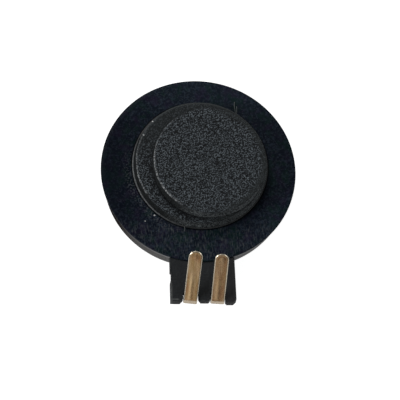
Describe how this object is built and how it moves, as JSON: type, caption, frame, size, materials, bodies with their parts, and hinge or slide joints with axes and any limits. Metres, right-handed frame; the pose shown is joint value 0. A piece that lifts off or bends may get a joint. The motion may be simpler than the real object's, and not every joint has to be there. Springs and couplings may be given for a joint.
{
  "type": "vibration coin motor",
  "caption": "Flat round vibration motor: a steel cup under a black film disc, with a stepped foam pad on top and a side tab with sprung leaf contacts.",
  "frame": {"origin": "on the shaft's axis, in the outer flat face of the steel case", "axes": "+Z along the shaft, from the case face towards the foam pad; the terminal tab points along -Y"},
  "size_m": [0.01, 0.0122, 0.0041],
  "materials": {
    "case_steel": "satin",
    "plate_steel": "satin",
    "shaft_steel": "polished",
    "black_film": "satin",
    "terminal_plastic": "satin",
    "contact_alloy": "satin",
    "solder": "satin",
    "washer_nylon": "satin",
    "magnet": "satin",
    "flex_film": "satin",
    "brush_alloy": "satin",
    "adhesive_tape": "satin",
    "foam": "matte",
    "rotor_resin": "satin",
    "circuit_board": "satin",
    "sintered_bronze": "matte",
    "tungsten_alloy": "satin",
    "coil_copper": "gloss",
    "commutator_gold": "gloss"
  },
  "bodies": {
    "motor_body": {"case_cup": "case_steel", "base_plate": "plate_steel", "cover_film": "black_film", "terminal_block": "terminal_plastic", "contact_foot_left": "contact_alloy", "contact_foot_right": "contact_alloy", "solder_left": "solder", "solder_right": "solder", "shaft": "shaft_steel", "thrust_washer_lower": "washer_nylon", "thrust_washer_upper": "washer_nylon", "magnet_ring": "magnet", "brush_flex": "flex_film", "brush_left": "brush_alloy", "brush_right": "brush_alloy", "foam_adhesive": "adhesive_tape", "foam_lower": "foam", "foam_adhesive_mid": "adhesive_tape", "foam_upper": "foam"},
    "left_contact": {"contact_arm_left": "contact_alloy"},
    "right_contact": {"contact_arm_right": "contact_alloy"},
    "rotor": {"rotor_moulding": "rotor_resin", "rotor_board": "circuit_board", "bearing_bush": "sintered_bronze", "counterweight": "tungsten_alloy", "coil_left": "coil_copper", "coil_right": "coil_copper", "commutator_segment_1": "commutator_gold", "commutator_segment_2": "commutator_gold", "commutator_segment_3": "commutator_gold", "commutator_segment_4": "commutator_gold", "commutator_segment_5": "commutator_gold", "commutator_segment_6": "commutator_gold"}
  },
  "joints": [
    {"name": "rotor_spin", "type": "hinge", "parent": "motor_body", "child": "rotor", "pos_m": [0, 0, 0], "axis": [0, 0, 1], "continuous": true},
    {"name": "left_contact_press", "type": "hinge", "parent": "motor_body", "child": "left_contact", "pos_m": [-0.00053, -0.0069, 0.0017], "axis": [-0.9954, 0.0958, 0], "range_deg": [0, 32], "stiffness_Nm_per_rad": 0.007},
    {"name": "right_contact_press", "type": "hinge", "parent": "motor_body", "child": "right_contact", "pos_m": [0.00085, -0.0069, 0.0017], "axis": [-0.9984, 0.0558, 0], "range_deg": [0, 38], "stiffness_Nm_per_rad": 0.007}
  ]
}
